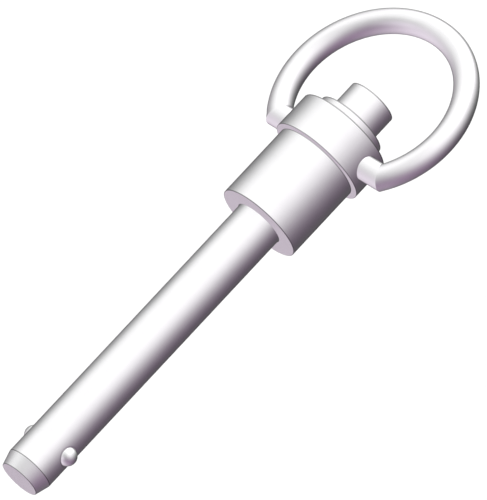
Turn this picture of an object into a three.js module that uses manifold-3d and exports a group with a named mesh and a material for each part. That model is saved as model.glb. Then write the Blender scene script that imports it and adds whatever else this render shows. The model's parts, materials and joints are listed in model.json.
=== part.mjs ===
// Ball-lock hitch pin with a push button and a swinging pull ring.
//
// The pin lies along X, tip at -X and button at +X. The origin is the centre of the shoulder that seats
// against the hitch, Y is the ring's pivot axis and +Z is square to the ring. Lengths are millimetres.

import * as THREE from 'three';
import { mergeVertices } from 'three/addons/utils/BufferGeometryUtils.js';
import Module from 'manifold-3d';

const wasm = await Module();
wasm.setup();

// ---------------------------------------------------------------- driving dimensions

// Outside
const shankRadius = 5.0;
const shankLength = 68.0; // shoulder to tip
const tipRadius = 4.18;
const tipTaper = 2.9;
const bodyRadius = 8.77;
const bodyLength = 16.5;
const collarRadius = 10.0;
const collarLength = 8.0;
const stepWidth = 1.38; // how far the step flange stands outside the bush's barrel
const stepThickness = 2.1;
const buttonRadius = 5.03;
const buttonProud = 6.0; // button face above the step flange
const buttonTravel = 3.0;

// Pull ring
const wireRadius = 2.5;
const ringRadius = 18.5; // centreline
const cornerGap = 1.4; // between the collar and the wire where it turns into its stub
const weld = 0.1; // how far the round and the stub run into each other at a corner

// Locking balls
const ballRadius = 1.9;
const ballProud = 1.5; // how far a locked ball stands out of the shank
const ballFromTip = 8.9;
const neckSlack = 0.1; // between a ball that has sunk flush and the spindle's neck

// Shank bore and spindle
const tipWall = 2.0;
const bottomGap = 0.5; // spindle to the bore's end with the button pressed home
const landSetback = 0.5; // land edge to ball centre, so that the ramp follows the ball
const rampAngle = THREE.MathUtils.degToRad(30);
const neckEndGap = 0.6; // along X, between a sunk ball and the neck's end with the button pressed home
const stemShoulder = 0.65; // step down from the spindle's rod to its stem
const stemDepth = 9.5; // stem inside the button

// Inside the head
const shankSeat = 6.0; // shank's press fit inside the body, from the shoulder
const clipGroove = 0.45; // groove depth
const clipThickness = 0.7;
const clipHeight = 0.9; // clip above the shank's surface
const clipOpening = THREE.MathUtils.degToRad(70);
const clipLip = 0.65; // shank beyond the clip's groove
const washerThickness = 0.6;
const bushWall = 0.82;
const bushBarrelLength = 5.9;
const buttonFlangeThickness = 1.4;
const spigotWall = 0.44; // collar metal between the body's spigot and the stub holes
const springWireRadius = 0.4;
const springTurns = 4.5;
const springInset = 0.25; // spring's outside inside the button's flange

// Clearances
const pressFit = 0.05; // drawn as a hairline gap, radially and endways
const runningFit = 0.1; // radial, sliding pieces
const pivotFit = 0.06; // radial, ring stub in its hole
const ballFit = 0.07; // radial, ball in its hole
const ballSeat = 0.05; // ball to land
const stopGap = 0.15; // button's flange to the bush it stops on
const chamberFit = 0.3; // radial, round what moves in the chamber
const stubGap = 0.25; // stub's end to the bush

// Smoothness
const wide = 56; // sides of the turned outside pieces
const narrow = 32; // sides of the bores and small turned pieces
const drilled = 24; // sides of cross holes and of the ring's wire

// ---------------------------------------------------------------- places that follow

const collarStart = bodyLength;
const collarEnd = collarStart + collarLength;
const stepEnd = collarEnd + stepThickness;
const buttonEnd = stepEnd + buttonProud;
const pivotX = collarStart + collarLength / 2;

const tipX = -shankLength;
const ballX = tipX + ballFromTip;
const ballLockedRadius = shankRadius + ballProud - ballRadius;
const ballHoleRadius = ballRadius + ballFit;

const rodRadius = ballLockedRadius - ballRadius - ballSeat;
const neckRadius = ballLockedRadius - ballProud - ballRadius - neckSlack;
const stemRadius = rodRadius - stemShoulder;
const boreRadius = rodRadius + runningFit;
const boreEnd = tipX + tipWall;

const grooveStart = shankSeat + pressFit;
const grooveEnd = grooveStart + clipThickness + 2 * pressFit;
const shankEnd = grooveEnd + clipLip;
const clipOuterRadius = shankRadius + clipHeight;
const washerStart = shankEnd + pressFit;
const washerEnd = washerStart + washerThickness;

const bushBoreRadius = buttonRadius + runningFit;
const bushBarrelRadius = bushBoreRadius + bushWall;
const stepRadius = bushBarrelRadius + stepWidth;
const bushStart = collarEnd - bushBarrelLength;
const buttonFlangeRadius = bushBarrelRadius - runningFit;
const buttonFlangeEnd = bushStart - stopGap;
const buttonStart = buttonFlangeEnd - buttonFlangeThickness;

const washerRadius = Math.max(clipOuterRadius, buttonFlangeRadius); // under the clip's and the spring's edge
const chamberRadius = washerRadius + chamberFit;
const spigotRadius = (bodyRadius + chamberRadius) / 2;
const collarBoreRadius = bushBarrelRadius + pressFit;
const stubHoleRadius = wireRadius + pivotFit;
const spigotLength = collarLength / 2 - stubHoleRadius - spigotWall;
const stubEnd = collarBoreRadius + stubGap;

const cornerY = collarRadius + wireRadius + cornerGap;
const ringCentreX = pivotX + Math.sqrt(ringRadius ** 2 - cornerY ** 2);

// ---------------------------------------------------------------- shape helpers

/** A turned piece about X from a profile of [x, radius] points, outside first from -X to +X. */
function turned(profile, sides) {
  const points = profile.map(([x, radius]) => new THREE.Vector2(radius, x));
  return new THREE.LatheGeometry(points, sides).rotateZ(-Math.PI / 2);
}

/** A closed geometry as a solid that can be joined and cut. */
function solidOf(geometry) {
  const bare = geometry.clone().deleteAttribute('normal').deleteAttribute('uv');
  const merged = mergeVertices(bare, 1e-4);
  const index = merged.index.array;
  const faces = [];
  for (let i = 0; i < index.length; i += 3) {
    const [a, b, c] = [index[i], index[i + 1], index[i + 2]];
    if (a !== b && b !== c && c !== a) faces.push(a, b, c);
  }
  return new wasm.Manifold(new wasm.Mesh({
    numProp: 3,
    vertProperties: new Float32Array(merged.attributes.position.array),
    triVerts: new Uint32Array(faces),
  }));
}

/** The geometry of a joined or cut solid. */
function geometryOf(solid) {
  const mesh = solid.getMesh();
  const geometry = new THREE.BufferGeometry();
  geometry.setAttribute('position', new THREE.BufferAttribute(mesh.vertProperties, 3));
  geometry.setIndex(new THREE.BufferAttribute(mesh.triVerts, 1));
  geometry.computeVertexNormals();
  return geometry;
}

/** A drill along Y through the point x on the axis. */
function crossDrill(x, radius, reach) {
  return new THREE.CylinderGeometry(radius, radius, 2 * reach, drilled).translate(x, 0, 0);
}

/** A geometry with a drill's hole through it, from both sides. */
function crossDrilled(geometry, x, radius, reach) {
  return geometryOf(solidOf(geometry).subtract(solidOf(crossDrill(x, radius, reach))));
}

/** A round section for a wire. */
function wireSection(radius, sides) {
  const section = new THREE.Shape();
  for (let i = 0; i < sides; i += 1) {
    const turn = (2 * Math.PI * i) / sides;
    const point = [radius * Math.cos(turn), radius * Math.sin(turn)];
    if (i === 0) section.moveTo(...point);
    else section.lineTo(...point);
  }
  section.closePath();
  return section;
}

// ---------------------------------------------------------------- the pieces

/** Shank: a tapered, closed tip, a blind bore, two ball holes and a clip groove at its inner end. */
function shankGeometry() {
  const grooveRadius = shankRadius - clipGroove;
  const blank = turned([
    [tipX, 0],
    [tipX, tipRadius],
    [tipX + tipTaper, shankRadius],
    [grooveStart, shankRadius],
    [grooveStart, grooveRadius],
    [grooveEnd, grooveRadius],
    [grooveEnd, shankRadius],
    [shankEnd, shankRadius],
    [shankEnd, boreRadius],
    [boreEnd, boreRadius],
    [boreEnd, 0],
  ], wide);
  return crossDrilled(blank, ballX, ballHoleRadius, 2 * shankRadius);
}

/** Shoulder body: the sleeve that seats on the hitch, with the spring's chamber and a spigot. */
function bodyGeometry() {
  const seatRadius = shankRadius + pressFit;
  const spigotEnd = collarStart + spigotLength;
  return turned([
    [0, seatRadius],
    [0, bodyRadius],
    [collarStart, bodyRadius],
    [collarStart, spigotRadius],
    [spigotEnd, spigotRadius],
    [spigotEnd, chamberRadius],
    [shankSeat, chamberRadius],
    [shankSeat, seatRadius],
    [0, seatRadius],
  ], wide);
}

/** Collar: takes the body's spigot below, the bush above and the ring's stubs from both sides. */
function collarGeometry() {
  const start = collarStart + pressFit;
  const counterboreEnd = collarStart + spigotLength + pressFit;
  const counterboreRadius = spigotRadius + pressFit;
  const blank = turned([
    [start, counterboreRadius],
    [start, collarRadius],
    [collarEnd, collarRadius],
    [collarEnd, collarBoreRadius],
    [counterboreEnd, collarBoreRadius],
    [counterboreEnd, counterboreRadius],
    [start, counterboreRadius],
  ], wide);
  return crossDrilled(blank, pivotX, stubHoleRadius, 2 * collarRadius);
}

/** Guide bush: the step flange on the collar and the barrel that guides the button. */
function bushGeometry() {
  const flangeStart = collarEnd + pressFit;
  return turned([
    [bushStart, bushBoreRadius],
    [bushStart, bushBarrelRadius],
    [flangeStart, bushBarrelRadius],
    [flangeStart, stepRadius],
    [stepEnd, stepRadius],
    [stepEnd, bushBoreRadius],
    [bushStart, bushBoreRadius],
  ], wide);
}

/** Push button: a plug with a retaining flange under the bush and a socket for the spindle's stem. */
function buttonGeometry() {
  const socketRadius = stemRadius + pressFit;
  const socketEnd = buttonStart + stemDepth + pressFit;
  return turned([
    [buttonStart, socketRadius],
    [buttonStart, buttonFlangeRadius],
    [buttonFlangeEnd, buttonFlangeRadius],
    [buttonFlangeEnd, buttonRadius],
    [buttonEnd, buttonRadius],
    [buttonEnd, 0],
    [socketEnd, 0],
    [socketEnd, socketRadius],
    [buttonStart, socketRadius],
  ], wide);
}

/** Spindle: land, ramp and neck at the balls, a long rod, and the stem fixed in the button. */
function spindleGeometry() {
  const landStart = boreEnd + buttonTravel + bottomGap;
  const landEnd = ballX - landSetback;
  const rampEnd = landEnd + (rodRadius - neckRadius) / Math.tan(rampAngle);
  const neckEnd = ballX + buttonTravel + ballRadius + neckEndGap;
  const shoulder = buttonStart - pressFit;
  return turned([
    [landStart, 0],
    [landStart, rodRadius],
    [landEnd, rodRadius],
    [rampEnd, neckRadius],
    [neckEnd, neckRadius],
    [neckEnd, rodRadius],
    [shoulder, rodRadius],
    [shoulder, stemRadius],
    [buttonStart + stemDepth, stemRadius],
    [buttonStart + stemDepth, 0],
  ], narrow);
}

/** Spring seat washer on the shank's inner end. */
function washerGeometry() {
  const hole = boreRadius + runningFit;
  return turned([
    [washerStart, hole],
    [washerStart, washerRadius],
    [washerEnd, washerRadius],
    [washerEnd, hole],
    [washerStart, hole],
  ], narrow);
}

/** Snap ring in the shank's groove, which holds the shank in the body. */
function clipGeometry() {
  const inner = shankRadius - clipGroove + pressFit;
  const from = clipOpening / 2;
  const to = 2 * Math.PI - from;
  const outline = new THREE.Shape();
  outline.absarc(0, 0, clipOuterRadius, from, to, false);
  outline.absarc(0, 0, inner, to, from, true);
  outline.closePath();
  const settings = { depth: clipThickness, bevelEnabled: false, curveSegments: narrow };
  return new THREE.ExtrudeGeometry(outline, settings)
    .rotateY(Math.PI / 2)
    .translate(grooveStart + pressFit, 0, 0);
}

/** Return spring: a helix from the washer to the button's flange. */
class Helix extends THREE.Curve {
  constructor(radius, start, end, turns) {
    super();
    Object.assign(this, { radius, start, end, turns });
  }

  getPoint(t, target = new THREE.Vector3()) {
    const turn = 2 * Math.PI * this.turns * t;
    const x = this.start + (this.end - this.start) * t;
    return target.set(x, this.radius * Math.cos(turn), this.radius * Math.sin(turn));
  }
}

function springGeometry() {
  const radius = buttonFlangeRadius - springInset - springWireRadius;
  const endGap = springWireRadius + 2 * pressFit;
  const path = new Helix(radius, washerEnd + endGap, buttonStart - endGap, springTurns);
  const steps = Math.round(springTurns * 18);
  return new THREE.ExtrudeGeometry(wireSection(springWireRadius, 8), { steps, extrudePath: path });
}

/** An arc of the ring's centreline in the XY plane, between two angles from +X. */
class RingArc extends THREE.Curve {
  constructor(from, to) {
    super();
    Object.assign(this, { from, to });
  }

  getPoint(t, target = new THREE.Vector3()) {
    const turn = this.from + (this.to - this.from) * t;
    return target.set(ringCentreX + ringRadius * Math.cos(turn), ringRadius * Math.sin(turn), 0);
  }
}

/** Pull ring: an open round of wire whose ends turn inwards at sharp corners and pivot in the collar. */
function ringGeometry() {
  const cornerTurn = Math.atan2(cornerY, pivotX - ringCentreX);
  const overrun = THREE.MathUtils.degToRad(12);
  const arc = new THREE.ExtrudeGeometry(wireSection(wireRadius, drilled), {
    steps: 60,
    extrudePath: new RingArc(-cornerTurn - overrun, cornerTurn + overrun),
  });
  // The mitre at each corner halves the angle between the stub, along Y, and the arc's tangent.
  const tangent = new THREE.Vector2(Math.sin(cornerTurn), -Math.cos(cornerTurn));
  const across = new THREE.Vector2(0, 1).add(tangent).normalize();
  const block = 6 * wireRadius;
  /** A block beyond (+1) or behind (-1) the mitre of a corner, set off by the weld between the two cuts. */
  const mitreBlock = (side, way) => solidOf(new THREE.BoxGeometry(block, block, block)
    .translate(way * (block / 2 + weld / 2), 0, 0)
    .rotateZ(side * across.angle())
    .translate(pivotX, side * cornerY, 0));
  const stubLength = cornerY + 2 * wireRadius - stubEnd;
  let hoop = solidOf(arc);
  for (const side of [1, -1]) hoop = hoop.subtract(mitreBlock(side, -1));
  for (const side of [1, -1]) {
    const middle = side * (stubEnd + stubLength / 2);
    const stub = new THREE.CylinderGeometry(wireRadius, wireRadius, stubLength, drilled)
      .translate(pivotX, middle, 0);
    hoop = hoop.add(solidOf(stub).subtract(mitreBlock(side, 1)));
  }
  return geometryOf(hoop);
}

// ---------------------------------------------------------------- the assembly

function steel(color, roughness) {
  return new THREE.MeshStandardMaterial({ color, roughness, metalness: 1 });
}

function piece(name, geometry, material) {
  const mesh = new THREE.Mesh(geometry, material);
  mesh.name = name;
  return mesh;
}

const housing = new THREE.Group();
housing.add(
  piece('shank', shankGeometry(), steel(0xe6e6e8, 0.22)),
  piece('shoulder_body', bodyGeometry(), steel(0xe3e2e5, 0.24)),
  piece('ring_collar', collarGeometry(), steel(0xe3e2e5, 0.24)),
  piece('guide_bush', bushGeometry(), steel(0xe0dfe2, 0.26)),
  piece('snap_ring', clipGeometry(), steel(0x8c8d92, 0.4)),
  piece('spring_washer', washerGeometry(), steel(0xc4c5c9, 0.35)),
  piece('return_spring', springGeometry(), steel(0xb4b6bb, 0.3)),
);

const plunger = new THREE.Group();
plunger.add(
  piece('push_button', buttonGeometry(), steel(0xe6e6e8, 0.22)),
  piece('spindle', spindleGeometry(), steel(0xc9cace, 0.3)),
);

const balls = new THREE.Group();
for (const [name, side] of [['locking_ball_right', -1], ['locking_ball_left', 1]]) {
  const ball = piece(name, new THREE.SphereGeometry(ballRadius, 24, 14), steel(0xededef, 0.12));
  ball.position.set(ballX, side * ballLockedRadius, 0);
  balls.add(ball);
}

const ring = piece('pull_ring', ringGeometry(), steel(0xe6e5e8, 0.22));

const pin = new THREE.Group();
pin.add(housing, plunger, balls, ring);

export default pin;
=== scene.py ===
"""A ball lock hitch pin in polished steel: fine surfaces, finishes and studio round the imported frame.

The pin lies along X, tip at -X and push button at +X, with the shoulder that seats on the hitch at x = 0.
Y is the pull ring's pivot axis. Everything is in metres; sizes that a maker reads in millimetres use MM.
"""

import json
import math

import bpy
import numpy as np
from bpy.props import FloatProperty, FloatVectorProperty, IntProperty, PointerProperty
from bpy.types import Operator, Panel, PropertyGroup
from mathutils import Euler, Matrix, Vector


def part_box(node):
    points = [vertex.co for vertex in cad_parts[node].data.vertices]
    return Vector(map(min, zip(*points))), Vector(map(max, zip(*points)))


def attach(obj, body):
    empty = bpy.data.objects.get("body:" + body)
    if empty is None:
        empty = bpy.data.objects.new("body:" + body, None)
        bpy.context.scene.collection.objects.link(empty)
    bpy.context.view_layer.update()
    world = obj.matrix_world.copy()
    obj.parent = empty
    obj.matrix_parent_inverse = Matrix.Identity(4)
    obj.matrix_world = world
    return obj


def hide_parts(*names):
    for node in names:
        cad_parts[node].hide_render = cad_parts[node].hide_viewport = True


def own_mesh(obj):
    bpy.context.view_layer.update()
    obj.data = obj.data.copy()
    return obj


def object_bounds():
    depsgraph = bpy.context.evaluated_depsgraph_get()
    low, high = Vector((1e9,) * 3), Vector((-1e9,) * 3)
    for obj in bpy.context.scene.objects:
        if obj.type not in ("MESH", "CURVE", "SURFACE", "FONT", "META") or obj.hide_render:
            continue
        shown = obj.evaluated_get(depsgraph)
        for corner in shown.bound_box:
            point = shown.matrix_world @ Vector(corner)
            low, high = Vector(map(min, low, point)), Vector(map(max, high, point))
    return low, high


bl_info = {
    "name": "Ball lock hitch pin",
    "version": (1, 0, 0),
    "blender": (4, 5, 0),
    "location": "3D View > Sidebar > Hitch pin",
    "description": "Makes a ball lock hitch pin's fine surfaces, finishes and studio",
    "category": "Add Mesh",
}

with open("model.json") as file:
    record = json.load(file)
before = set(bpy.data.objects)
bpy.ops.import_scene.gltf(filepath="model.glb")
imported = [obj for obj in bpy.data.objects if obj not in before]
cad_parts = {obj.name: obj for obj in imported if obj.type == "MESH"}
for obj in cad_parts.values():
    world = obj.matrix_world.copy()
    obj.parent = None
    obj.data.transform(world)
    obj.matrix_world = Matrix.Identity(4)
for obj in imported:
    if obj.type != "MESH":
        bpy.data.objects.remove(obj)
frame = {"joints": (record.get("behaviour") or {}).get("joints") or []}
CAD_BOX = [list(corner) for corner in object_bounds()]

MM = 0.001
PAINTED_EDGE_SHADE = 0.32  # brightness of the painted shade, a dark line painted along each rounded edge
WELD = 1e-8  # points closer than this are one point
ARC_STEP = math.radians(15)  # turn of one facet of a rounded edge
SUPPORT = 0.9  # a support line lies this far beyond a rounded edge, as a share of the edge's reach
BLEND_RINGS = 10  # rings between a cross hole's rim and the square gap round it
WALL_RINGS = 8  # rings down a cross hole's wall
RING_CROWDING = 0.8  # power that spaces the outer blend rings
WALL_SHARE = 0.01  # a face whose middle is this near to a wall, as a share of its radius, is on it
RING_STATIONS, STUB_STATIONS, WIRE_SIDES = 150, 13, 64  # half the ring's round, a stub, round the wire
SPRING_STATIONS, SPRING_SIDES = 60, 24  # to a turn, round the wire
CLIP_STATIONS = 120  # along the snap ring
THREAD_ROWS = 10  # to a turn of the thread

NOISE_SPAN = (0.3, 0.7)  # where most of a noise's values lie
SMUDGE_SCALE = 260.0  # smudges to a metre
SMUDGE_SHADE = 0.97  # brightness under a smudge
SMUDGE_GLOSS = 0.15  # how far smudges change the roughness, as a share of it
STREAK_GLOSS = 0.02  # how far the fine marks change the roughness


# ---------------------------------------------------------------- the frame's places


def low(node):
    """The lowest corner of a CAD node's box."""
    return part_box(node)[0]


def high(node):
    """The highest corner of a CAD node's box."""
    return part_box(node)[1]


PRESS_FIT = 0.05 * MM  # hairline between pressed pieces
RUNNING_FIT = 0.1 * MM  # round a sliding piece
PIVOT_FIT = 0.06 * MM  # round a stub of the ring
BALL_FIT = 0.07 * MM  # round a ball
BALL_RIM = 0.02 * MM  # between a ball and its staked rim
CHAMBER_FIT = 0.3 * MM  # round what moves in the chamber
STOP_GAP = 0.15 * MM  # button's flange to the bush it stops on
STUB_GAP = 0.25 * MM  # stub's end to the bush
SPRING_INSET = 0.25 * MM  # spring's outside inside the button's flange
NECK_SLACK = 0.1 * MM  # between a sunk ball and the spindle's neck
NECK_END_GAP = 0.6 * MM  # sunk ball to the neck's end, with the button pressed home
LAND_SETBACK = 0.5 * MM  # edge of the spindle's land to a ball's centre
RAMP_ANGLE = math.radians(30)  # slope from the land to the neck
CORNER_ROOM = 1.08  # room left at the ring's corners, as a share of the least that a round wire needs
EASE = 0.4  # room after a stub's end arc, as a share of its radius
END_FACE = 0.96  # support line inside a stub's end face, as a share of it
CLOSED_TURNS = 0.9  # turns of the spring that lie close at each end
SOFT_CLIMB = 0.35  # share of the smooth step in the spring's climb
GROUND = 0.6  # share of the spring's wire radius left where its ends are ground flat
BUSH_WALL = 0.82 * MM
CLIP_GROOVE = 0.45 * MM  # depth
CLIP_LIP = 0.65 * MM  # shank beyond the snap ring's groove
CLIP_OPENING = math.radians(70)
STEM_DEPTH = 9.5 * MM  # stem inside the button
STEM_STEP = 0.65 * MM  # from the spindle's rod down to its stem
TIP_WALL = 2.0 * MM

SHANK_RADIUS = high("shank").z
BODY_RADIUS = high("shoulder_body").z
COLLAR_RADIUS = high("ring_collar").z
STEP_RADIUS = high("guide_bush").z
FLANGE_RADIUS = high("push_button").z
ROD_RADIUS = high("spindle").z
CLIP_RADIUS = high("snap_ring").z
WASHER_RADIUS = high("spring_washer").z
BALL_RADIUS = (high("locking_ball_left").y - low("locking_ball_left").y) / 2
BALL_CENTRE = (high("locking_ball_left") + low("locking_ball_left")) / 2
WIRE_RADIUS = high("pull_ring").z

BORE_RADIUS = ROD_RADIUS + RUNNING_FIT
BARREL_RADIUS = FLANGE_RADIUS + RUNNING_FIT
BUSH_BORE = BARREL_RADIUS - BUSH_WALL
BUTTON_RADIUS = BUSH_BORE - RUNNING_FIT
COLLAR_BORE = BARREL_RADIUS + PRESS_FIT
CHAMBER_RADIUS = WASHER_RADIUS + CHAMBER_FIT
SPIGOT_RADIUS = (BODY_RADIUS + CHAMBER_RADIUS) / 2
COLLAR_START = low("ring_collar").x
COLLAR_END = high("ring_collar").x

JOINTS = {joint["name"]: joint for joint in frame["joints"]}
PIVOT_X = JOINTS["ring_swing"]["pos_m"][0]
BUTTON_TRAVEL = JOINTS["button_press"]["range_m"][1]
BALL_SINK = JOINTS["ball_left_sink"]["range_m"][1]

# A staked rim from its outside inwards, as shares of the stake's width and depth.
STAKE_PROFILE = np.array([
    (1, 0), (0.85, 0.3), (0.65, 1), (0.45, 1), (0.25, 0.4), (0.1, 0.4), (0, 0.9), (0, 1.6)
])


# ---------------------------------------------------------------- settings


def length(name, description, default):
    """A size in metres, shown with its unit."""
    return FloatProperty(name=name, description=description, default=default, unit="LENGTH", precision=5)


def angle(name, description, degrees):
    """An angle, given in degrees."""
    return FloatProperty(
        name=name, description=description, default=math.radians(degrees), subtype="ANGLE", unit="ROTATION"
    )


def colour(name, description, default):
    """A linear colour."""
    return FloatVectorProperty(
        name=name, description=description, default=default, size=3, subtype="COLOR", min=0, max=1
    )


def share(name, description, default, top=1.0):
    """A plain number from 0 up."""
    return FloatProperty(name=name, description=description, default=default, min=0, max=top)


def count(name, description, default):
    """A number of sides."""
    return IntProperty(name=name, description=description, default=default, min=24, max=512)


class PinSizes(PropertyGroup):
    """Sizes of the fine shapes."""

    edge: length("Edge rounding", "Radius of the broken outside edges", 0.11 * MM)
    rim: length("Rim rounding", "Radius of the head's rims towards the button", 0.176 * MM)
    low_rim: length("Low rim rounding", "Radius of the collar's rim towards the tip", 0.077 * MM)
    taper_edge: length("Taper rounding", "Radius where the lead-in meets the shank", 0.44 * MM)
    rod_end: length("Rod end rounding", "Radius of the spindle's end and the ring's stubs", 0.22 * MM)
    fine_edge: length("Fine edge", "Radius of the small pieces' edges", 0.06 * MM)
    tip_radius: length("Tip radius", "Radius of the flat end of the tip", 4.18 * MM)
    tip_taper: length("Tip taper", "Length of the tapered lead-in", 2.9 * MM)
    stake_width: length("Stake width", "Width of the staked ring round a ball", 0.3 * MM)
    stake_depth: length("Stake depth", "Depth of the staked ring round a ball", 0.02 * MM)
    thread_pitch: length("Thread pitch", "Pitch of the stem's thread", 0.7 * MM)
    thread_depth: share("Thread depth", "Depth of the thread as a share of its pitch", 0.55)
    spring_wire: length("Spring wire", "Radius of the return spring's wire", 0.4 * MM)
    spring_turns: share("Spring turns", "Turns of the return spring, ends included", 5.5, 20.0)
    sides: count("Sides", "Sides of the turned outside pieces", 192)
    inner_sides: count("Inner sides", "Sides of the balls, spindle and washer", 96)


class SteelFinishes(PropertyGroup):
    """Colours and gloss of the steels."""

    polished: colour("Polished steel", "Shank, head and button", (0.93, 0.925, 0.935))
    ring: colour("Ring wire", "Pull ring", (0.93, 0.92, 0.935))
    ball: colour("Ball steel", "Locking balls", (0.95, 0.95, 0.955))
    inner: colour("Inner steel", "Spindle and washer", (0.62, 0.62, 0.64))
    spring: colour("Spring steel", "Return spring and snap ring", (0.36, 0.35, 0.37))
    gloss: share("Roughness", "Roughness of the polished steel", 0.2)
    marks: share("Turning marks", "Strength of the fine turning marks", 0.05)


class StudioSettings(PropertyGroup):
    """Camera, light and floor."""

    azimuth: angle("Azimuth", "Camera's bearing, 0 looks along +Y", -23.84)
    elevation: angle("Elevation", "Camera's height above the horizon", 50.17)
    roll: angle("Roll", "Turn of the view about the line of sight", 28.2)
    distance: length("Distance", "Camera to the pin", 3.0)
    view_height: length("View height", "Height of the view at the pin", 94.16 * MM)
    aim_right: length("Aim right", "Middle of the view, right of the shoulder", -2.86 * MM)
    aim_up: length("Aim up", "Middle of the view, above the shoulder", -5.06 * MM)
    floor_drop: length("Floor drop", "Floor below the lowest point of the pin", 60 * MM)
    floor_size: length("Floor size", "Half the floor's width", 4.0)


class HitchPinSettings(PropertyGroup):
    """Everything a user may change."""

    sizes: PointerProperty(type=PinSizes)
    steel: PointerProperty(type=SteelFinishes)
    studio: PointerProperty(type=StudioSettings)


# ---------------------------------------------------------------- outlines


def rounded(corners, closed):
    """Rows (x, radius, edge) of an outline, each corner (x, radius, rounding) turned into an arc.

    An arc of radius f at a corner that turns by a touches both sides f * tan(a / 2) from the corner, and
    its centre lies on the corner's bisector. A support point follows each arc on its straight sides, so
    that smooth shading keeps the straights flat. edge is 1 on an arc and 0 beside it.
    """
    places = np.array([c[:2] for c in corners], float)
    points = []
    last = len(corners) - 1
    for i, corner in enumerate(corners):
        here, radius = places[i], corner[2]
        if radius <= 0 or (not closed and i in (0, last)):
            points.append((*here, 0))
            continue
        back = places[i - 1] - here
        ahead = places[(i + 1) % len(corners)] - here
        back_length, ahead_length = np.linalg.norm(back), np.linalg.norm(ahead)
        back, ahead = back / back_length, ahead / ahead_length
        turn = math.pi - math.acos(np.clip(back @ ahead, -1, 1))
        room = min(back_length, ahead_length) / 2
        reach = min(radius * math.tan(turn / 2), room / (1 + SUPPORT))
        radius = reach / math.tan(turn / 2)
        centre = here + (back + ahead) / np.linalg.norm(back + ahead) * radius / math.cos(turn / 2)
        start, end = here + back * reach - centre, here + ahead * reach - centre
        steps = max(3, math.ceil(turn / ARC_STEP))
        part = np.linspace(0, turn, steps + 1)[:, None]
        arc = centre + (np.sin(turn - part) * start + np.sin(part) * end) / math.sin(turn)
        points.append((*(here + back * reach * (1 + SUPPORT)), 0))
        points.extend((*place, 1) for place in arc)
        points.append((*(here + ahead * reach * (1 + SUPPORT)), 0))
    return np.array(points)


def with_rows(outline, radius, rows):
    """The outline with points added at the rows' x values on its straight at that radius."""
    following = np.roll(outline, -1, axis=0)
    level = (abs(outline[:, 1] - radius) < WELD) & (abs(following[:, 1] - radius) < WELD)
    run = following[:, 0] - outline[:, 0]
    place = np.flatnonzero(level & (abs(run) > rows[-1] - rows[0]))[0]
    ordered = rows if run[place] > 0 else rows[::-1]
    added = np.stack([ordered, np.full(len(rows), radius), np.zeros(len(rows))], axis=1)
    return np.insert(outline, place + 1, added, axis=0)


# ---------------------------------------------------------------- surfaces


def welded(points, quads):
    """Points within a hair of each other made one, and four-sided faces that lose a side made triangles.

    Gives the points, the faces of four sides and of three, and each point's first place in the old list.
    """
    keys = np.round(points / WELD).astype(np.int64)
    _, first, place = np.unique(keys, axis=0, return_index=True, return_inverse=True)
    quads = place.reshape(-1)[quads]
    doubled = quads == np.roll(quads, -1, axis=1)
    whole = quads[~doubled.any(axis=1)]
    cut = quads[doubled.sum(axis=1) == 1]
    spare = doubled[doubled.sum(axis=1) == 1].argmax(axis=1)
    triangles = cut[np.arange(4)[None, :] != spare[:, None]].reshape(-1, 3)
    return points[first], whole, triangles, first


def grid_faces(rows, columns, closed_rows):
    """Four-sided faces of a grid whose columns run round, as indices row * columns + column."""
    row = np.arange(rows if closed_rows else rows - 1)[:, None]
    column = np.arange(columns)[None, :]
    next_row, next_column = (row + 1) % rows, (column + 1) % columns
    corners = [row * columns + column, row * columns + next_column,
               next_row * columns + next_column, next_row * columns + column]
    return np.stack([c.reshape(-1) for c in np.broadcast_arrays(*corners)], axis=1)


def volume(points, triangles):
    """Signed volume of a closed shell: a sixth of the sum of each face's triple product."""
    a, b, c = (points[triangles[:, i]] for i in range(3))
    return np.einsum("ij,ij->i", a, np.cross(b, c)).sum() / 6


def outward(points, quads, triangles):
    """The faces, all turned round if the shell's signed volume is below 0."""
    fan = np.concatenate([quads[:, [0, 1, 2]], quads[:, [0, 2, 3]], triangles])
    if volume(points, fan) < 0:
        return quads[:, ::-1], triangles[:, ::-1]
    return quads, triangles


def shell(name, points, quads, edge, crease=None):
    """A smooth closed mesh object at the origin, from grid points (metres) and four-sided faces.

    edge is each point's nearness to a rounded edge, 0 to 1, which the steels read to paint a dark line of
    shade along the edge. crease is a test of edges' ends, as an array function, that marks the edges kept
    sharp.
    """
    points, whole, triangles, first = welded(points, quads)
    whole, triangles = outward(points, whole, triangles)
    mesh = bpy.data.meshes.new(name)
    mesh.from_pydata(points.tolist(), [], whole.tolist() + triangles.tolist())
    mesh.shade_smooth()
    mesh.attributes.new("edge", "FLOAT", "POINT").data.foreach_set("value", edge[first].astype(np.float32))
    if crease is not None:
        ends = np.zeros(len(mesh.edges) * 2, np.int32)
        mesh.edges.foreach_get("vertices", ends)
        ends = points[ends.reshape(-1, 2)]
        sharp = mesh.attributes.new("sharp_edge", "BOOLEAN", "EDGE")
        sharp.data.foreach_set("value", crease(ends).astype(bool))
    mesh.validate()
    piece = bpy.data.objects.new(name, mesh)
    bpy.context.scene.collection.objects.link(piece)
    return piece


def turned_points(outline, sides):
    """A profile turned about X: (x, r cos t, r sin t) for each outline point and each turn t."""
    turn = np.linspace(0, 2 * math.pi, sides, endpoint=False)
    x, r = outline[:, :1], outline[:, 1:2]
    return np.stack(np.broadcast_arrays(x, r * np.cos(turn), r * np.sin(turn)), axis=-1)


def turned(name, corners, sides, closed):
    """A turned piece from its corners (x, radius, rounding). A closed outline is a sleeve."""
    outline = rounded(corners, closed)
    faces = grid_faces(len(outline), sides, closed)
    return shell(name, turned_points(outline, sides).reshape(-1, 3), faces, np.repeat(outline[:, 2], sides))


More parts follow.
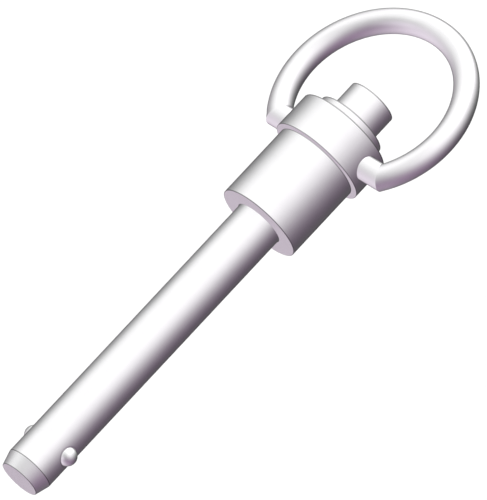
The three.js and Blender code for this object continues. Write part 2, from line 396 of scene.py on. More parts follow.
def square_loop(half_x, half_turn, span):
    """The edge of a square block of a grid, span cells a side, as (x offset, turn) going round."""
    up = np.linspace(-1, 1, span, endpoint=False)
    down, low_side, high_side = -up, np.full(span, -1.0), np.full(span, 1.0)
    x = np.concatenate([up, high_side, down, low_side]) * half_x
    turn = np.concatenate([low_side, up, high_side, down]) * half_turn
    return x, turn


def port_rings(outer, inner, bore, lip, shade, loop):
    """Rings of a cross hole's surface, from the outer grid's gap, down the hole, to the inner grid's gap.

    A ring is a closed curve (x, y, z, edge) with the hole along Y. On a cylinder of radius R, y is the root
    of R squared less z squared. Between the gap's square edge and the round rim, x and z are a weighted mean
    of the two. lip lists (radius, depth) pairs of the rim, from the outer surface inwards, and shade is its
    edge value.
    """
    x, turn = loop
    outer_z, inner_z = outer * np.sin(turn), inner * np.sin(turn)
    around = np.arctan2(outer_z, x)
    round_x, round_z = np.cos(around), np.sin(around)

    def on_cylinder(radius, ring_x, ring_z, depth=0.0, edge=0.0):
        y = np.sqrt(radius**2 - ring_z**2) - depth
        return np.stack([ring_x, y, ring_z, np.full(len(x), edge)], axis=1)

    rim = lip[0][0]
    rings = []
    for part in np.linspace(0, 1, BLEND_RINGS + 1) ** RING_CROWDING:
        ring_x = x + (round_x * rim - x) * part
        ring_z = outer_z + (round_z * rim - outer_z) * part
        rings.append(on_cylinder(outer, ring_x, ring_z))
    # The rim's rings carry shade as their edge value, which the steels paint as a dark line of shade.
    for radius, depth in lip[1:]:
        rings.append(on_cylinder(outer, round_x * radius, round_z * radius, depth, edge=shade))
    top, bottom = rings[-1], on_cylinder(inner, round_x * bore, round_z * bore)
    top = np.stack([round_x * bore, top[:, 1], round_z * bore, top[:, 3]], axis=1)
    for part in np.linspace(0, 1, WALL_RINGS + 1)[1:]:
        rings.append(top + (bottom - top) * part)
    for part in np.linspace(0, 1, BLEND_RINGS + 1)[1:]:
        ring_x = round_x * bore + (x - round_x * bore) * part
        ring_z = round_z * bore + (inner_z - round_z * bore) * part
        rings.append(on_cylinder(inner, ring_x, ring_z))
    return np.array(rings)


def cross_drilled(name, corners, sides, outer, inner, centre_x, bore, lip, shade, half_x, span):
    """A turned sleeve or blind tube with a hole through both walls along Y.

    The turned grid leaves out a square block of span by span cells, 2 half_x long, round each hole, on its
    outer and inner straight. The rings of port_rings join the two gaps, and their first and last ring lie on
    the gaps' edges.
    """
    half_turn = math.pi * span / sides
    rows = centre_x + np.linspace(-half_x, half_x, span + 1)
    closed = corners[0][1] > 0
    outline = rounded(corners, closed)
    outline = with_rows(with_rows(outline, outer, rows), inner, rows)
    points = turned_points(outline, sides)
    faces = grid_faces(len(points), sides, closed)
    middle = points.reshape(-1, 3)[faces].mean(axis=1)
    radius = np.hypot(middle[:, 1], middle[:, 2])
    turn = np.abs(np.arctan2(middle[:, 2], np.abs(middle[:, 1])))
    on_wall = (np.abs(radius - outer) < outer * WALL_SHARE) | (np.abs(radius - inner) < inner * WALL_SHARE)
    in_block = (np.abs(middle[:, 0] - centre_x) < half_x) & (turn < half_turn) & on_wall
    faces = faces[~in_block]
    rings = port_rings(outer, inner, bore, lip, shade, square_loop(half_x, half_turn, span))
    parts, face_sets, start = [points.reshape(-1, 3)], [faces], points.shape[0] * sides
    edges = [np.repeat(outline[:, 2], sides)]
    for side in (1, -1):
        port = rings[:, :, :3] * (1, side, side) + (centre_x, 0, 0)
        parts.append(port.reshape(-1, 3))
        edges.append(rings[:, :, 3].reshape(-1))
        face_sets.append(grid_faces(len(port), port.shape[1], False)[:, ::-1] + start)
        start += port.shape[0] * port.shape[1]
    return shell(name, np.concatenate(parts), np.concatenate(face_sets), np.concatenate(edges))


def swept_points(centres, across, along_section, section):
    """A section (M, 2) carried along a path: centre + s * across + t * along_section at each station."""
    s, t = section[:, 0][None, :, None], section[:, 1][None, :, None]
    return centres[:, None, :] + s * across[:, None, :] + t * along_section[:, None, :]


def round_section(sides):
    """A unit circle."""
    turn = np.linspace(0, 2 * math.pi, sides, endpoint=False)
    return np.stack([np.cos(turn), np.sin(turn)], axis=1)


# ---------------------------------------------------------------- materials


class Graph:
    """A short way to add and join the nodes of a material or a world."""

    def __init__(self, owner):
        owner.use_nodes = True
        self.owner = owner
        self.tree = owner.node_tree
        self.tree.nodes.clear()

    def add(self, kind, **sockets):
        """Adds a node. Sockets are set by name, with _ for a space, to a value or joined to an output."""
        node = self.tree.nodes.new(kind)
        for name, value in sockets.items():
            self.put(node.inputs[name.replace("_", " ")], value)
        return node

    def put(self, socket, value):
        """Sets a socket or joins an output to it."""
        if isinstance(value, bpy.types.NodeSocket):
            self.tree.links.new(value, socket)
        else:
            socket.default_value = value

    def maths(self, operation, first, second=None, third=None):
        """A Math node's output."""
        node = self.tree.nodes.new("ShaderNodeMath")
        node.operation = operation
        for socket, value in zip(node.inputs, (first, second, third)):
            if value is not None:
                self.put(socket, value)
        return node.outputs[0]

    def blend(self, factor, first, second):
        """A colour between two colours, each plain or joined."""
        node = self.tree.nodes.new("ShaderNodeMix")
        node.data_type = "RGBA"
        self.put(node.inputs["Factor"], factor)
        sockets = [socket for socket in node.inputs if socket.type == "RGBA"]
        for socket, value in zip(sockets, (first, second)):
            self.put(socket, value if isinstance(value, bpy.types.NodeSocket) else (*value, 1.0))
        return next(socket for socket in node.outputs if socket.type == "RGBA")

    def vector(self, operation, first, second):
        """A Vector Math node's output."""
        node = self.tree.nodes.new("ShaderNodeVectorMath")
        node.operation = operation
        self.put(node.inputs[0], first)
        self.put(node.inputs["Scale"] if operation == "SCALE" else node.inputs[1], second)
        return node.outputs["Value"] if operation == "DOT_PRODUCT" else node.outputs["Vector"]

    def spread(self, noise, low_out, high_out):
        """A noise's usual span carried to another range."""
        low_in, high_in = NOISE_SPAN
        ends = {"From_Min": low_in, "From_Max": high_in, "To_Min": low_out, "To_Max": high_out}
        return self.add("ShaderNodeMapRange", Value=noise.outputs["Fac"], **ends).outputs["Result"]


def steel(name, base, roughness, marks, mark_width, turned_marks=True):
    """Steel with smudges, fine marks of the given width and strength, and painted shade: dark lines on
    rounded edges.

    Turned marks ring the X axis: they change with x + radius, which runs along a cylinder and across an end
    face alike. Other marks have no direction.
    """
    graph = Graph(bpy.data.materials.new(name))
    place = graph.add("ShaderNodeTexCoord").outputs["Object"]
    if turned_marks:
        split = graph.add("ShaderNodeSeparateXYZ", Vector=place)
        y2 = graph.maths("MULTIPLY", split.outputs["Y"], split.outputs["Y"])
        z2 = graph.maths("MULTIPLY", split.outputs["Z"], split.outputs["Z"])
        radius = graph.maths("SQRT", graph.maths("ADD", y2, z2))
        track = graph.maths("ADD", split.outputs["X"], radius)
        streaks = graph.add("ShaderNodeTexNoise", Scale=1.0, Detail=3.0, Roughness=0.65)
        streaks.noise_dimensions = "1D"
        graph.put(streaks.inputs["W"], graph.maths("DIVIDE", track, mark_width))
    else:
        streaks = graph.add("ShaderNodeTexNoise", Vector=place, Scale=1 / mark_width, Detail=4.0)
    smudge = graph.add("ShaderNodeTexNoise", Vector=place, Scale=SMUDGE_SCALE, Detail=3.0, Roughness=0.55)
    gloss = graph.spread(smudge, roughness * (1 - SMUDGE_GLOSS), roughness * (1 + SMUDGE_GLOSS))
    gloss = graph.maths("ADD", gloss, graph.spread(streaks, -STREAK_GLOSS, STREAK_GLOSS))
    smudged = [channel * SMUDGE_SHADE for channel in base]
    tone = graph.blend(graph.spread(smudge, 0.0, 1.0), smudged, base)
    edge = graph.add("ShaderNodeAttribute")
    edge.attribute_name = "edge"
    # Painted shade: a dark line painted on rounded edges, where the edge attribute is 1.
    tone = graph.blend(edge.outputs["Fac"], tone, [channel * PAINTED_EDGE_SHADE for channel in base])
    bump = graph.add("ShaderNodeBump", Strength=marks, Distance=mark_width, Height=streaks.outputs["Fac"])
    shader = graph.add("ShaderNodeBsdfPrincipled", Base_Color=tone, Roughness=gloss, Metallic=1.0)
    graph.put(shader.inputs["Normal"], bump.outputs["Normal"])
    graph.add("ShaderNodeOutputMaterial", Surface=shader.outputs["BSDF"])
    return graph.owner


def finish_piece(piece, node, body, material):
    """Gives a finished piece its material and body, and hides the CAD node that it stands for."""
    piece.data.materials.append(material)
    piece.visible_glossy = False
    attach(piece, body)
    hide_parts(node)


def polished(name, context):
    """The outside's polished steel, with turning marks a tenth of a millimetre wide."""
    finishes = context.scene.hitch_pin.steel
    return steel(name, finishes.polished, finishes.gloss, finishes.marks, mark_width=0.1 * MM)


# ---------------------------------------------------------------- the operators


class PinOperator:
    """What every operator here shares."""

    bl_options = {"REGISTER", "UNDO"}


class HITCH_PIN_OT_make_shank(PinOperator, Operator):
    """Make the shank: tapered tip, blind bore and two staked ball holes"""

    bl_idname = "hitch_pin.make_shank"
    bl_label = "Shank"

    def execute(self, context):
        sizes = context.scene.hitch_pin.sizes
        tip, end = low("shank").x, high("shank").x
        groove_end = end - CLIP_LIP
        groove_start = low("snap_ring").x - PRESS_FIT
        groove_radius = SHANK_RADIUS - CLIP_GROOVE
        bore_end = tip + TIP_WALL
        edge, fine = sizes.edge, sizes.fine_edge
        corners = [
            (tip, 0, 0),
            (tip, sizes.tip_radius, edge),
            (tip + sizes.tip_taper, SHANK_RADIUS, sizes.taper_edge),
            (groove_start, SHANK_RADIUS, fine),
            (groove_start, groove_radius, fine),
            (groove_end, groove_radius, fine),
            (groove_end, SHANK_RADIUS, fine),
            (end, SHANK_RADIUS, edge),
            (end, BORE_RADIUS, edge),
            (bore_end, BORE_RADIUS, edge),
            (bore_end, 0, 0),
        ]
        lip = STAKE_PROFILE * (sizes.stake_width, sizes.stake_depth) + (BALL_RADIUS + BALL_RIM, 0)
        # shade=0.2 paints a faint dark line of shade round each ball's rim.
        piece = cross_drilled(
            "polished_shank", corners, sides=128, outer=SHANK_RADIUS, inner=BORE_RADIUS,
            centre_x=BALL_CENTRE.x, bore=BALL_RADIUS + BALL_FIT, lip=lip, shade=0.2,
            half_x=3.1 * MM, span=40,
        )
        finish_piece(piece, "shank", "housing", polished("shank_steel", context))
        return {"FINISHED"}


class HITCH_PIN_OT_make_body(PinOperator, Operator):
    """Make the shoulder body that seats on the hitch"""

    bl_idname = "hitch_pin.make_body"
    bl_label = "Shoulder body"

    def execute(self, context):
        sizes = context.scene.hitch_pin.sizes
        seat = SHANK_RADIUS + PRESS_FIT
        floor = low("snap_ring").x - 2 * PRESS_FIT
        top, spigot_end = COLLAR_START - PRESS_FIT, high("shoulder_body").x
        edge, fine = sizes.edge, sizes.fine_edge
        corners = [
            (0, seat, fine),
            (0, BODY_RADIUS, edge),
            (top, BODY_RADIUS, edge),
            (top, SPIGOT_RADIUS, fine),
            (spigot_end, SPIGOT_RADIUS, fine),
            (spigot_end, CHAMBER_RADIUS, fine),
            (floor, CHAMBER_RADIUS, fine),
            (floor, seat, fine),
        ]
        piece = turned("turned_shoulder_body", corners, sizes.sides, closed=True)
        finish_piece(piece, "shoulder_body", "housing", polished("body_steel", context))
        return {"FINISHED"}


class HITCH_PIN_OT_make_collar(PinOperator, Operator):
    """Make the ring collar with its two stub holes"""

    bl_idname = "hitch_pin.make_collar"
    bl_label = "Ring collar"

    def execute(self, context):
        sizes = context.scene.hitch_pin.sizes
        counterbore_end = high("shoulder_body").x + PRESS_FIT
        counterbore = SPIGOT_RADIUS + PRESS_FIT
        fine = sizes.fine_edge
        corners = [
            (COLLAR_START, counterbore, fine),
            (COLLAR_START, COLLAR_RADIUS, sizes.low_rim),
            (COLLAR_END, COLLAR_RADIUS, sizes.rim),
            (COLLAR_END, COLLAR_BORE, fine),
            (counterbore_end, COLLAR_BORE, fine),
            (counterbore_end, counterbore, fine),
        ]
        bore = WIRE_RADIUS + PIVOT_FIT
        turn = np.linspace(0, math.pi / 2, 5)
        lip = np.stack([bore + fine * (1 - np.sin(turn)), fine * (1 - np.cos(turn))], axis=1)
        # shade=1.0 paints a full dark line of shade round each stub hole's rim.
        piece = cross_drilled(
            "drilled_ring_collar", corners, sides=144, outer=COLLAR_RADIUS, inner=COLLAR_BORE,
            centre_x=PIVOT_X, bore=bore, lip=lip, shade=1.0,
            half_x=2.85 * MM, span=30,
        )
        finish_piece(piece, "ring_collar", "housing", polished("collar_steel", context))
        return {"FINISHED"}


class HITCH_PIN_OT_make_bush(PinOperator, Operator):
    """Make the guide bush and its step flange"""

    bl_idname = "hitch_pin.make_bush"
    bl_label = "Guide bush"

    def execute(self, context):
        sizes = context.scene.hitch_pin.sizes
        start, end = low("guide_bush").x, high("guide_bush").x
        flange_start = COLLAR_END + PRESS_FIT
        fine = sizes.fine_edge
        corners = [
            (start, BUSH_BORE, fine),
            (start, BARREL_RADIUS, fine),
            (flange_start, BARREL_RADIUS, fine),
            (flange_start, STEP_RADIUS, fine),
            (end, STEP_RADIUS, sizes.rim),
            (end, BUSH_BORE, sizes.edge),
        ]
        piece = turned("stepped_guide_bush", corners, sizes.sides, closed=True)
        finish_piece(piece, "guide_bush", "housing", polished("bush_steel", context))
        return {"FINISHED"}


class HITCH_PIN_OT_make_button(PinOperator, Operator):
    """Make the push button with its retaining flange and the stem's socket"""

    bl_idname = "hitch_pin.make_button"
    bl_label = "Push button"

    def execute(self, context):
        sizes = context.scene.hitch_pin.sizes
        start, end = low("push_button").x, high("push_button").x
        flange_end = low("guide_bush").x - STOP_GAP
        socket = ROD_RADIUS - STEM_STEP + PRESS_FIT
        socket_end = start + STEM_DEPTH + PRESS_FIT
        fine = sizes.fine_edge
        corners = [
            (socket_end, 0, 0),
            (socket_end, socket, fine),
            (start, socket, fine),
            (start, FLANGE_RADIUS, fine),
            (flange_end, FLANGE_RADIUS, fine),
            (flange_end, BUTTON_RADIUS, fine),
            (end, BUTTON_RADIUS, sizes.rim),
            (end, 0, 0),
        ]
        piece = turned("plain_push_button", corners, sizes.sides, closed=False)
        finish_piece(piece, "push_button", "plunger", polished("button_steel", context))
        return {"FINISHED"}


class HITCH_PIN_OT_make_spindle(PinOperator, Operator):
    """Make the spindle: land, ramp and neck at the balls, rod, and threaded stem"""

    bl_idname = "hitch_pin.make_spindle"
    bl_label = "Spindle"

    def execute(self, context):
        settings = context.scene.hitch_pin
        sizes = settings.sizes
        start, end = low("spindle").x, high("spindle").x
        land_end = BALL_CENTRE.x - LAND_SETBACK
        neck = BALL_CENTRE.y - BALL_SINK - BALL_RADIUS - NECK_SLACK
        ramp_end = land_end + (ROD_RADIUS - neck) / math.tan(RAMP_ANGLE)
        neck_end = BALL_CENTRE.x + BUTTON_TRAVEL + BALL_RADIUS + NECK_END_GAP
        shoulder = low("push_button").x - PRESS_FIT
        stem = ROD_RADIUS - STEM_STEP
        pitch, fine = sizes.thread_pitch, sizes.fine_edge
        relief, chamfer = stem * 0.9, stem * 0.8
        land_edge, neck_fillet = fine * 2, fine * 4
        # The thread starts past a relief one pitch long and its slope, and ends one pitch before the end.
        first, last = shoulder + pitch * 1.3, end - pitch
        corners = [
            (start, 0, 0),
            (start, ROD_RADIUS, sizes.rod_end),
            (land_end, ROD_RADIUS, land_edge),
            (ramp_end, neck, neck_fillet),
            (neck_end, neck, neck_fillet),
            (neck_end, ROD_RADIUS, land_edge),
            (shoulder, ROD_RADIUS, sizes.edge),
            (shoulder, relief, fine),
            (shoulder + pitch, relief, fine),
            (first, stem, 0),
            (last, stem, 0),
            (end, chamfer, fine),
            (end, 0, 0),
        ]
        outline = self.with_thread_rows(rounded(corners, closed=False), first, last, stem, pitch)
        sides = sizes.inner_sides
        points = self.threaded(outline, first, last, stem, pitch, pitch * sizes.thread_depth, sides)
        edge = np.repeat(outline[:, 2], sides)
        piece = shell("long_spindle", points.reshape(-1, 3), grid_faces(len(points), sides, False), edge)
        inner = settings.steel.inner
        material = steel("spindle_steel", inner, roughness=0.3, marks=0.25, mark_width=0.12 * MM)
        finish_piece(piece, "spindle", "plunger", material)
        return {"FINISHED"}

    def with_thread_rows(self, outline, first, last, stem, pitch):
        """The outline with rows added along the thread."""
        rows = np.linspace(first, last, int((last - first) / pitch * THREAD_ROWS))[1:-1]
        place = np.flatnonzero(abs(outline[:, 0] - first) < WELD)[0] + 1
        added = np.stack([rows, np.full(len(rows), stem), np.zeros(len(rows))], axis=1)
        return np.insert(outline, place, added, axis=0)

    def threaded(self, outline, first, last, stem, pitch, depth, sides):
        """The turned outline with a thread cut in, from first to last.

        The cut is a triangle wave of x / pitch + turn, which makes a helix, and it fades out over one pitch
        at each end.
        """
        points = turned_points(outline, sides)
        x = outline[:, :1]
        fade = np.clip(np.minimum(x - first, last - x) / pitch, 0, 1)
        phase = (x / pitch + np.arange(sides) / sides) % 1
        cut = depth * (1 - abs(2 * phase - 1)) * fade
        points[:, :, 1:] *= (1 - cut / stem)[:, :, None]
        return points


class HITCH_PIN_OT_make_balls(PinOperator, Operator):
    """Make the two locking balls"""

    bl_idname = "hitch_pin.make_balls"
    bl_label = "Locking balls"

    def execute(self, context):
        settings = context.scene.hitch_pin
        material = steel(
            "ball_steel", settings.steel.ball,
            roughness=0.12, marks=0.02, mark_width=0.05 * MM, turned_marks=False,
        )
        sides = settings.sizes.inner_sides
        rows = sides // 2 + 1
        # A sphere with its poles on Y: (cos tilt cos turn, sin tilt, cos tilt sin turn) times the radius.
        turn = np.linspace(0, 2 * math.pi, sides, endpoint=False)
        tilt = np.linspace(-math.pi / 2, math.pi / 2, rows)[:, None]
        level = np.cos(tilt)
        level[[0, -1]] = 0
        places = np.broadcast_arrays(level * np.cos(turn), np.sin(tilt), level * np.sin(turn))
        ball = np.stack(places, axis=-1) * BALL_RADIUS
        for node, body in (("locking_ball_right", "ball_right"), ("locking_ball_left", "ball_left")):
            centre = (low(node) + high(node)) / 2
            points = (ball + np.array(centre)).reshape(-1, 3)
            piece = shell(f"hard_{node}", points, grid_faces(rows, sides, False), np.zeros(len(points)))
            finish_piece(piece, node, body, material)
        return {"FINISHED"}


class HITCH_PIN_OT_make_ring(PinOperator, Operator):
    """Make the pull ring: an open round whose ends turn in at sharp corners"""

    bl_idname = "hitch_pin.make_ring"
    bl_label = "Pull ring"

    def execute(self, context):
        settings = context.scene.hitch_pin
        far, side = high("pull_ring").x, high("pull_ring").y
        radius = side - WIRE_RADIUS
        centre = far - side
        corner_y = math.sqrt(radius**2 - (centre - PIVOT_X) ** 2)
        corner_turn = math.atan2(corner_y, PIVOT_X - centre)
        # The stub runs along Y and the round leaves the corner along its tangent.
        half_bend = (math.pi - corner_turn) / 2
        # No section square to the wire stands nearer the corner than this, or it would fold on the inside.
        clear = WIRE_RADIUS * math.tan(half_bend) * CORNER_ROOM
        stub_centres, stub_across, stub_size = self.stub(corner_y, clear, settings.sizes.rod_end)
        # The stub's last station is the mitre: its section is stretched in the bend's plane.
        stretch = WIRE_RADIUS / math.cos(half_bend)
        stub_across[-1] = np.array([-math.cos(half_bend), math.sin(half_bend), 0]) * stretch
        arc_turn = np.linspace(corner_turn - clear / radius, 0, RING_STATIONS)
        arc_out = np.stack([np.cos(arc_turn), np.sin(arc_turn), np.zeros(len(arc_turn))], axis=1)
        centres = np.concatenate([stub_centres, arc_out * radius + (centre, 0, 0)])
        across = np.concatenate([stub_across, arc_out * WIRE_RADIUS])
        size = np.concatenate([stub_size, np.full(len(arc_turn), WIRE_RADIUS)])
        up = size[:, None] * np.array([0, 0, 1.0])
        mirror = np.array([1, -1, 1])
        centres = np.concatenate([centres, centres[-2::-1] * mirror])
        across = np.concatenate([across, across[-2::-1] * mirror])
        up = np.concatenate([up, up[-2::-1]])
        section = round_section(WIRE_SIDES)

        def at_mitre(ends):
            out = np.abs(ends[:, :, 1]) - corner_y
            along = (ends[:, :, 0] - PIVOT_X) * math.sin(half_bend) + out * math.cos(half_bend)
            return (np.abs(along) < 10 * WELD).all(axis=1)

        points = swept_points(centres, across, up, section).reshape(-1, 3)
        faces = grid_faces(len(centres), len(section), False)
        piece = shell("bent_pull_ring", points, faces, np.zeros(len(points)), crease=at_mitre)
        material = steel(
            "ring_steel", settings.steel.ring, settings.steel.gloss,
            marks=0.03, mark_width=0.15 * MM, turned_marks=False,
        )
        finish_piece(piece, "pull_ring", "ring", material)
        return {"FINISHED"}

    def stub(self, corner_y, clear, end_radius):
        """Stations along a stub, from its rounded end out to the corner: centres, directions and sizes.

        The end is a quarter arc: y = end + e (1 - cos t) and size = wire - e (1 - sin t), e its radius.
        """
        end = COLLAR_BORE + STUB_GAP
        turn = np.linspace(0, math.pi / 2, 7)
        straight = np.linspace(end + end_radius * (1 + EASE), corner_y - clear, STUB_STATIONS)
        y = np.concatenate([[end, end], end + end_radius * (1 - np.cos(turn)), straight, [corner_y]])
        rim = (WIRE_RADIUS - end_radius) * END_FACE
        arc = WIRE_RADIUS - end_radius * (1 - np.sin(turn))
        size = np.concatenate([[0, rim], arc, np.full(len(straight) + 1, WIRE_RADIUS)])
        centres = np.stack([np.full(len(y), PIVOT_X), y, np.zeros(len(y))], axis=1)
        return centres, size[:, None] * np.array([-1.0, 0, 0]), size


def spring_steel(context):
    """The dark spring steel that the return spring and the snap ring share."""
    name, base = "spring_steel", context.scene.hitch_pin.steel.spring
    if name in bpy.data.materials:
        return bpy.data.materials[name]
    return steel(name, base, roughness=0.35, marks=0.1, mark_width=0.08 * MM, turned_marks=False)


class HITCH_PIN_OT_make_spring(PinOperator, Operator):
    """Make the return spring, with closed and ground ends"""

    bl_idname = "hitch_pin.make_spring"
    bl_label = "Return spring"

    def execute(self, context):
        """A helix about X between its two seats.

        The pitch is one wire over the closed turns and wide between them, where the climb is a mix of a
        straight line and the smooth step 3 t^2 - 2 t^3. x is held between the two seats.
        """
        sizes = context.scene.hitch_pin.sizes
        wire, turns = sizes.spring_wire, sizes.spring_turns
        start, end = high("spring_washer").x + PRESS_FIT, low("push_button").x - PRESS_FIT
        radius = FLANGE_RADIUS - SPRING_INSET - wire
        stations = int(turns * SPRING_STATIONS)
        done = np.linspace(0, turns, stations)
        closed = np.minimum(done, CLOSED_TURNS) + np.maximum(done - turns + CLOSED_TURNS, 0)
        closed_climb = 2 * wire * closed
        rise = np.clip((done - CLOSED_TURNS) / (turns - 2 * CLOSED_TURNS), 0, 1)
        smooth = rise * (1 - SOFT_CLIMB) + rise**2 * (3 - 2 * rise) * SOFT_CLIMB
        free = end - start - 2 * GROUND * wire - closed_climb[-1]
        x = start + GROUND * wire + closed_climb + free * smooth
        turn = 2 * math.pi * done
        out = np.stack([np.zeros(stations), np.cos(turn), np.sin(turn)], axis=1)
        centres = out * radius + x[:, None] * np.array([1.0, 0, 0])
        size = np.full(stations, wire)
        size[[0, -1]] = 0
        centres[0], centres[-1] = centres[1], centres[-2]
        section = round_section(SPRING_SIDES)
        points = swept_points(centres, out * size[:, None], size[:, None] * np.array([1.0, 0, 0]), section)
        points[:, :, 0] = np.clip(points[:, :, 0], start, end)
        points = points.reshape(-1, 3)
        faces = grid_faces(stations, len(section), False)
        piece = shell("coiled_return_spring", points, faces, np.zeros(len(points)))
        finish_piece(piece, "return_spring", "housing", spring_steel(context))
        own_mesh(piece)
        return {"FINISHED"}


class HITCH_PIN_OT_make_snap_ring(PinOperator, Operator):
    """Make the open snap ring that holds the shank in the body"""

    bl_idname = "hitch_pin.make_snap_ring"
    bl_label = "Snap ring"

    def execute(self, context):
        """A flat ring with a gap: an oblong section with rounded corners carried round an arc about X."""
        fine = context.scene.hitch_pin.sizes.fine_edge
        start, end = low("snap_ring").x, high("snap_ring").x
        inner = SHANK_RADIUS - CLIP_GROOVE + PRESS_FIT
        middle, half_width = (CLIP_RADIUS + inner) / 2, (CLIP_RADIUS - inner) / 2
        half_height = (end - start) / 2
        corners = [
            (-half_width, -half_height, fine), (half_width, -half_height, fine),
            (half_width, half_height, fine), (-half_width, half_height, fine),
        ]
        loop = rounded(corners, closed=True)
        turn = np.linspace(CLIP_OPENING / 2, 2 * math.pi - CLIP_OPENING / 2, CLIP_STATIONS)
        turn = np.concatenate([turn[:1], turn, turn[-1:]])
        size = np.ones((len(turn), 1))
        size[[0, -1]] = 0
        out = np.stack([np.zeros(len(turn)), np.sin(turn), -np.cos(turn)], axis=1)
        centres = out * middle + ((start + end) / 2, 0, 0)
        points = swept_points(centres, out * size, size * np.array([1.0, 0, 0]), loop[:, :2]).reshape(-1, 3)
        faces = grid_faces(len(turn), len(loop), False)
        piece = shell("open_snap_ring", points, faces, np.tile(loop[:, 2], len(turn)))
        finish_piece(piece, "snap_ring", "housing", spring_steel(context))
        return {"FINISHED"}


class HITCH_PIN_OT_make_washer(PinOperator, Operator):
    """Make the flat washer that the return spring sits on"""

    bl_idname = "hitch_pin.make_washer"
    bl_label = "Spring washer"

    def execute(self, context):
        settings = context.scene.hitch_pin
        fine = settings.sizes.fine_edge
        start, end = low("spring_washer").x, high("spring_washer").x
        hole = BORE_RADIUS + RUNNING_FIT
        corners = [(start, hole), (start, WASHER_RADIUS), (end, WASHER_RADIUS), (end, hole)]
        corners = [(*corner, fine) for corner in corners]
        piece = turned("flat_spring_washer", corners, settings.sizes.inner_sides, closed=True)
        inner = settings.steel.inner
        material = steel("washer_steel", inner, roughness=0.34, marks=0.15, mark_width=0.15 * MM)
        finish_piece(piece, "spring_washer", "housing", material)
        return {"FINISHED"}


# Each soft light's bearing from +X towards +Y and height above the horizon in degrees, tightness and colour.
SOFT_LIGHTS = {
    "key from the button": (20.0, 14.0, 8.7, (1.5, 1.46, 1.5)),
    "broad overhead": (-42.0, 50.0, 3.75, (1.14, 1.12, 1.14)),
    "back strip": (97.0, 45.0, 8.6, (0.66, 0.66, 0.66)),
    "small strip at the tip": (171.0, 30.0, 19.0, (0.35, 0.32, 0.36)),
    "mauve bounce from the tip": (143.0, -20.0, 4.9, (0.79, 0.72, 0.8)),
    "mauve card under the tip": (114.0, -50.0, 40.0, (0.15, 0.11, 0.15)),
    "low mauve fill": (-130.0, -23.0, 3.0, (0.24, 0.145, 0.25)),
}
CARD_TIGHTNESS, CARD_STRENGTH = 32.0, 0.85  # of the dark card behind the pin, which darkens its outline
DIM_SKY = (0.005, 0.02, 0.005)
WHITE_ROOM = (1.15, 1.15, 1.15)


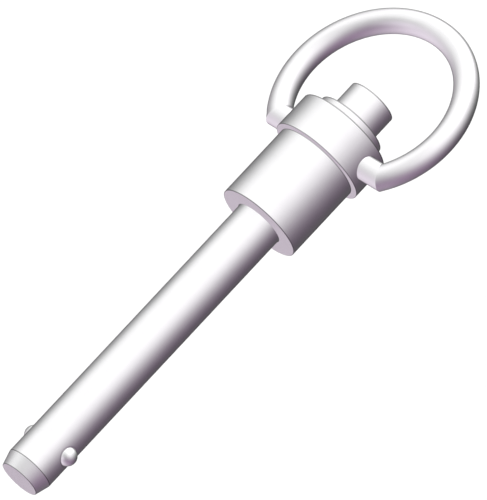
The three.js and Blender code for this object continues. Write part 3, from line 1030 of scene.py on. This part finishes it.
class HITCH_PIN_OT_make_stage(PinOperator, Operator):
    """Make the camera, the soft studio sky and the pale floor"""

    bl_idname = "hitch_pin.make_stage"
    bl_label = "Studio"

    def execute(self, context):
        studio = context.scene.hitch_pin.studio
        context.scene.view_settings.view_transform = "Standard"
        turn = Euler((math.pi / 2 - studio.elevation, 0, studio.azimuth), "XYZ").to_matrix()
        turn = turn @ Matrix.Rotation(-studio.roll, 3, "Z")
        self.camera(context.scene, studio, turn)
        self.floor(context.scene, studio)
        self.sky(context.scene, behind=tuple(-turn.col[2]))
        return {"FINISHED"}

    def camera(self, scene, studio, turn):
        """A long lens at the studio's bearing, height and roll, aimed beside the shoulder."""
        right, up, back = turn.col[0], turn.col[1], turn.col[2]
        data = bpy.data.cameras.new("studio_camera")
        data.sensor_width = 36.0
        data.lens = data.sensor_width * studio.distance / studio.view_height
        data.clip_start, data.clip_end = 0.1, 20.0
        camera = bpy.data.objects.new("studio_camera", data)
        aim = right * studio.aim_right + up * studio.aim_up
        camera.matrix_world = Matrix.Translation(aim + back * studio.distance) @ turn.to_4x4()
        scene.collection.objects.link(camera)
        scene.camera = camera

    def floor(self, scene, studio):
        """A wide pale sheet under the pin, left out of reflections."""
        size, height = studio.floor_size, CAD_BOX[0][2] - studio.floor_drop
        mesh = bpy.data.meshes.new("pale_floor")
        places = [(-size, -size, height), (size, -size, height), (size, size, height), (-size, size, height)]
        mesh.from_pydata(places, [], [(0, 1, 2, 3)])
        floor = bpy.data.objects.new("pale_floor", mesh)
        graph = Graph(bpy.data.materials.new("pale_floor"))
        grain = graph.add("ShaderNodeTexNoise", Scale=3.0, Detail=2.0)
        paint = graph.blend(grain.outputs["Fac"], (0.95, 0.95, 0.95), (0.97, 0.97, 0.97))
        shader = graph.add("ShaderNodeBsdfDiffuse", Color=paint)
        graph.add("ShaderNodeOutputMaterial", Surface=shader.outputs["BSDF"])
        mesh.materials.append(graph.owner)
        floor.visible_glossy = False
        scene.collection.objects.link(floor)

    def sky(self, scene, behind):
        """Soft lights on a dim sky, which the steel reflects, in a room that is plain white.

        A light's brightness in a direction is its colour times ((1 + c) / 2) to the power of its tightness,
        where c is the cosine of the angle to its middle. The dark card dims its surroundings the same way.
        """
        graph = Graph(bpy.data.worlds.new("studio_sky"))
        direction = graph.add("ShaderNodeTexCoord").outputs["Generated"]
        total = DIM_SKY
        for bearing, height, tightness, tint in SOFT_LIGHTS.values():
            bearing, height = math.radians(bearing), math.radians(height)
            level = math.cos(height)
            middle = (level * math.cos(bearing), level * math.sin(bearing), math.sin(height))
            cosine = graph.vector("DOT_PRODUCT", direction, middle)
            glow = graph.maths("POWER", graph.maths("MULTIPLY_ADD", cosine, 0.5, 0.5), tightness)
            total = graph.vector("ADD", total, graph.vector("SCALE", tint, glow))
        card = graph.maths("MULTIPLY_ADD", graph.vector("DOT_PRODUCT", direction, behind), 0.5, 0.5)
        card = graph.maths("POWER", card, CARD_TIGHTNESS)
        shade = graph.maths("MULTIPLY_ADD", card, -CARD_STRENGTH, 1.0)
        total = graph.vector("SCALE", total, shade)
        ray = graph.add("ShaderNodeLightPath")
        seen = graph.blend(ray.outputs["Is Glossy Ray"], WHITE_ROOM, total)
        background = graph.add("ShaderNodeBackground", Color=seen)
        graph.add("ShaderNodeOutputWorld", Surface=background.outputs["Background"])
        scene.world = graph.owner


# ---------------------------------------------------------------- the add-on

STEPS = (
    HITCH_PIN_OT_make_stage,
    HITCH_PIN_OT_make_shank,
    HITCH_PIN_OT_make_body,
    HITCH_PIN_OT_make_collar,
    HITCH_PIN_OT_make_bush,
    HITCH_PIN_OT_make_button,
    HITCH_PIN_OT_make_spindle,
    HITCH_PIN_OT_make_balls,
    HITCH_PIN_OT_make_ring,
    HITCH_PIN_OT_make_spring,
    HITCH_PIN_OT_make_snap_ring,
    HITCH_PIN_OT_make_washer,
)


class HITCH_PIN_PT_panel(Panel):
    """The pin's sizes, finishes and steps"""

    bl_idname = "HITCH_PIN_PT_panel"
    bl_label = "Hitch pin"
    bl_space_type = "VIEW_3D"
    bl_region_type = "UI"
    bl_category = "Hitch pin"

    def draw(self, context):
        settings = context.scene.hitch_pin
        for group in (settings.sizes, settings.steel, settings.studio):
            box = self.layout.box()
            for name in group.bl_rna.properties.keys():
                if name not in {"rna_type", "name"}:
                    box.prop(group, name)
        for step in STEPS:
            self.layout.operator(step.bl_idname)


CLASSES = (PinSizes, SteelFinishes, StudioSettings, HitchPinSettings, *STEPS, HITCH_PIN_PT_panel)


def register():
    """Adds the classes and the scene's settings."""
    for item in CLASSES:
        bpy.utils.register_class(item)
    bpy.types.Scene.hitch_pin = PointerProperty(type=HitchPinSettings)


def unregister():
    """Takes them away again."""
    del bpy.types.Scene.hitch_pin
    for item in reversed(CLASSES):
        bpy.utils.unregister_class(item)


def main():
    """Registers the add-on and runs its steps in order."""
    register()
    for step in STEPS:
        group, name = step.bl_idname.split(".")
        getattr(getattr(bpy.ops, group), name)()


if __name__ == "__main__":
    main()
